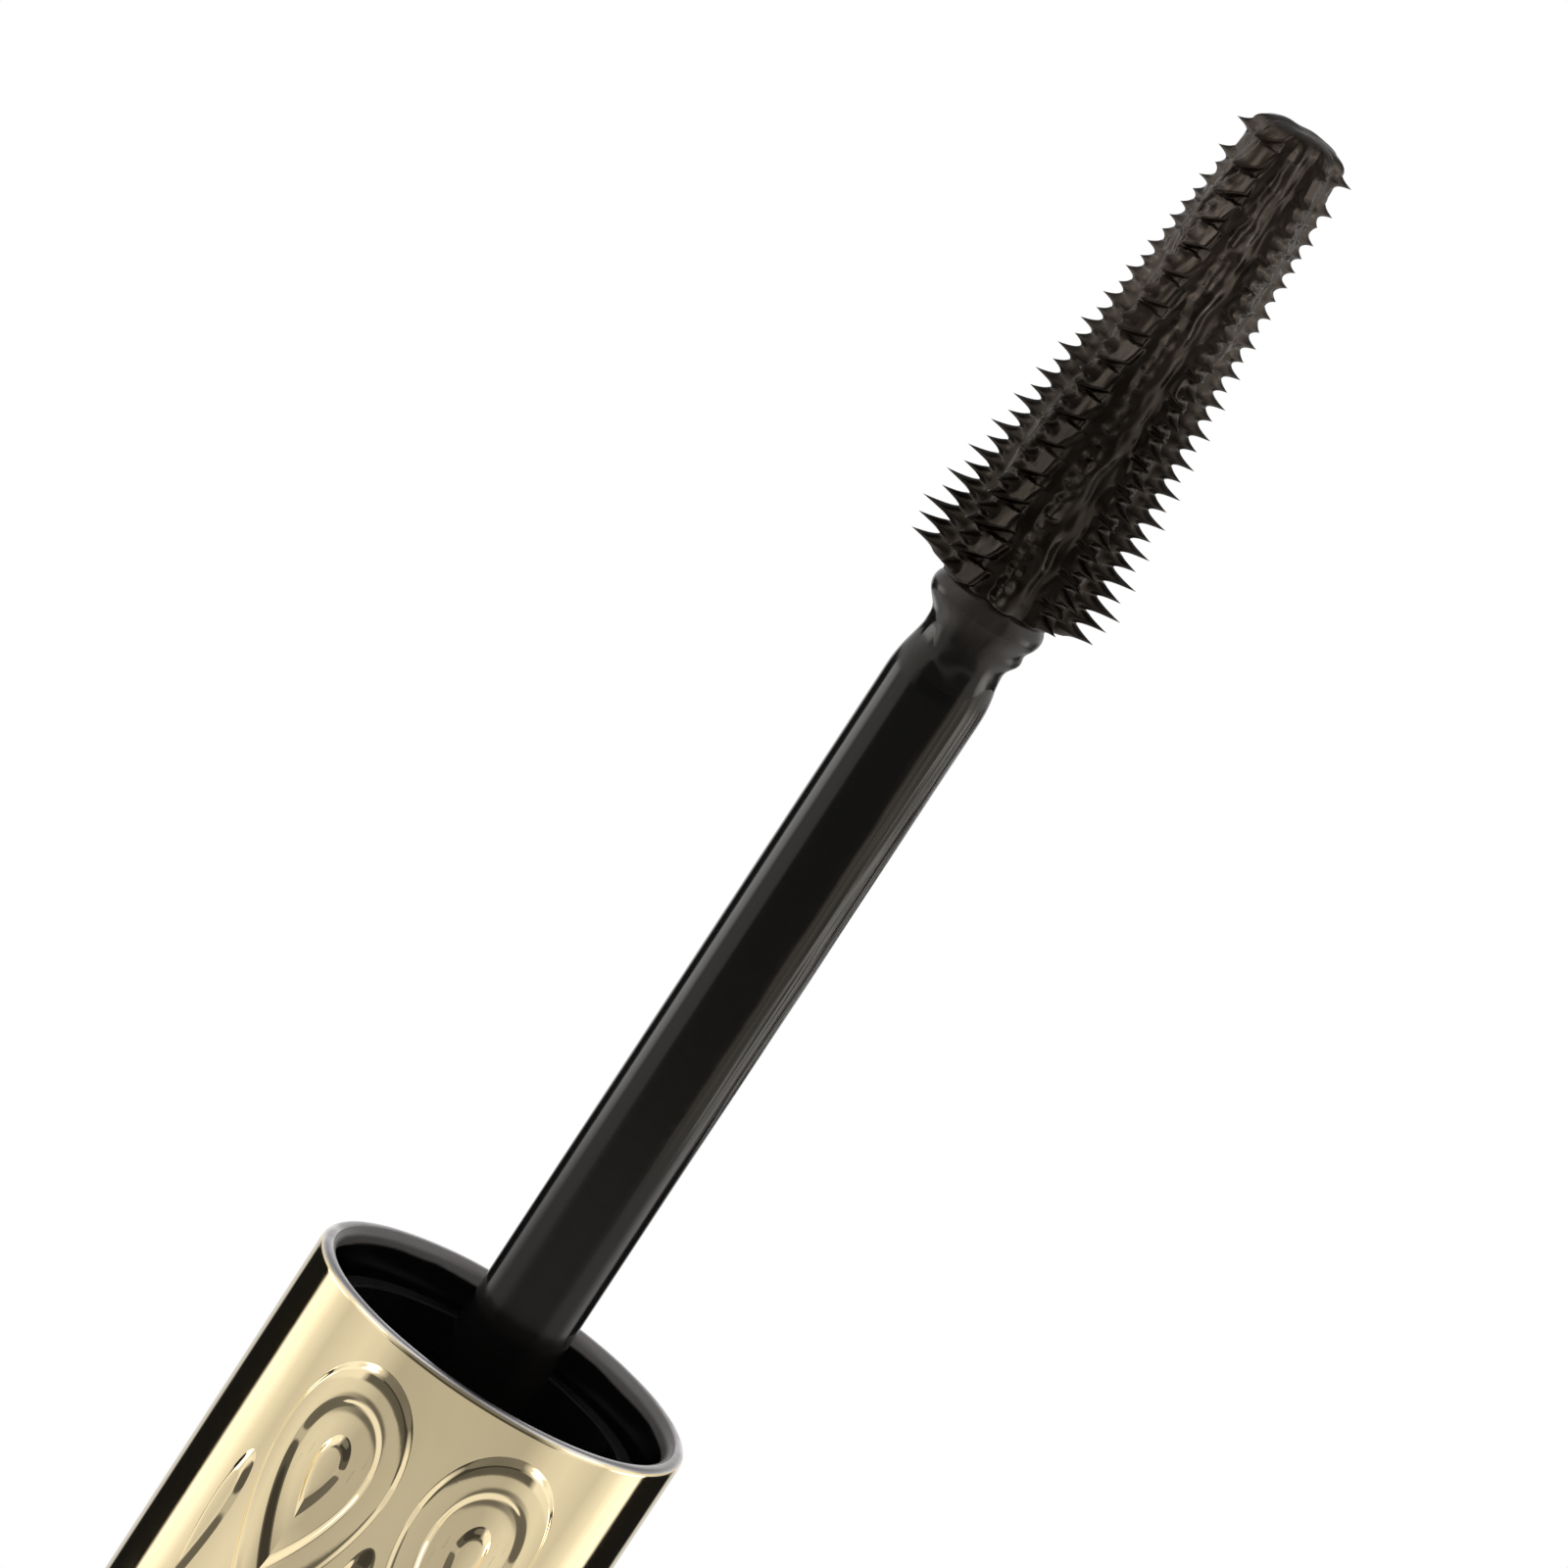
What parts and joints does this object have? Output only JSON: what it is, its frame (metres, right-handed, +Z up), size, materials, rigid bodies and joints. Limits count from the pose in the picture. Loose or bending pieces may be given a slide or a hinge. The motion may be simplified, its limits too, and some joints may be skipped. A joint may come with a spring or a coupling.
{
  "type": "mascara tube",
  "caption": "Round mascara tube standing open: a metallised bottle with a threaded neck and wiper, and a screw cap that carries a stem and a tapering moulded lash brush.",
  "frame": {"origin": "centre of the bottle's underside, on the surface it stands on", "axes": "+Z up along the tube's axis, from the bottle to the cap; the tube is round, so +X and +Y are free"},
  "size_m": [0.018, 0.018, 0.2116],
  "materials": {
    "pale_gold": "vacuum metallised pale gold",
    "black_plastic": "gloss",
    "soft_black": "satin",
    "washer_white": "matt",
    "brush_black": "wet with product"
  },
  "bodies": {
    "bottle": {"bottle_sleeve": "pale_gold", "base_plug": "black_plastic", "vial": "black_plastic", "wiper": "soft_black"},
    "washer": {"sealing_washer": "washer_white"},
    "applicator": {"cap_shell": "pale_gold", "inner_cap": "black_plastic", "stem": "black_plastic", "brush_core": "brush_black", "bristles": "brush_black"}
  },
  "joints": [
    {"name": "wand_draw", "type": "slide", "parent": "bottle", "child": "washer", "axis": [0, 0, 1], "range_m": [-0.09135, 0], "deforming": ["wiper"]},
    {"name": "cap_turn", "type": "hinge", "parent": "washer", "child": "applicator", "pos_m": [0, 0, 0.175], "axis": [0, 0, 1], "range_deg": [0, 360]}
  ]
}
